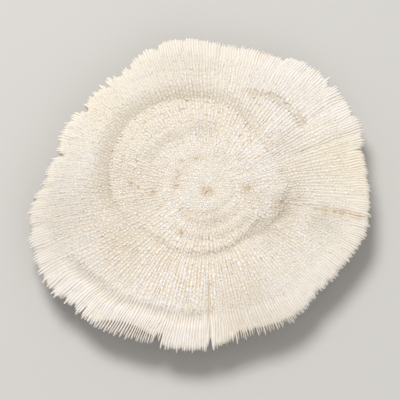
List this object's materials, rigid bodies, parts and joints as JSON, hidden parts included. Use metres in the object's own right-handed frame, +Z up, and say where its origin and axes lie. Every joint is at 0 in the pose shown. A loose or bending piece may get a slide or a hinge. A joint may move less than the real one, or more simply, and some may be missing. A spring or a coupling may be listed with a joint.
{
  "type": "mushroom coral skeleton",
  "caption": "Bleached skeleton of a solitary mushroom coral, a ribbed and toothed oval disc lying on its mouth side with its grained underside up.",
  "frame": {"origin": "middle of the skeleton's box in plan, on the plane of the worn septa that it rests on", "axes": "+Z up, from the resting mouth side to the grained underside; +X across the widest way, to the right in the picture; +Y away from the picture's viewer"},
  "size_m": [0.1597, 0.1573, 0.027],
  "materials": {
    "skeleton": "dry, bleached, chalky aragonite, matt"
  },
  "bodies": {
    "root": {"coral_skeleton": "skeleton"}
  },
  "joints": []
}
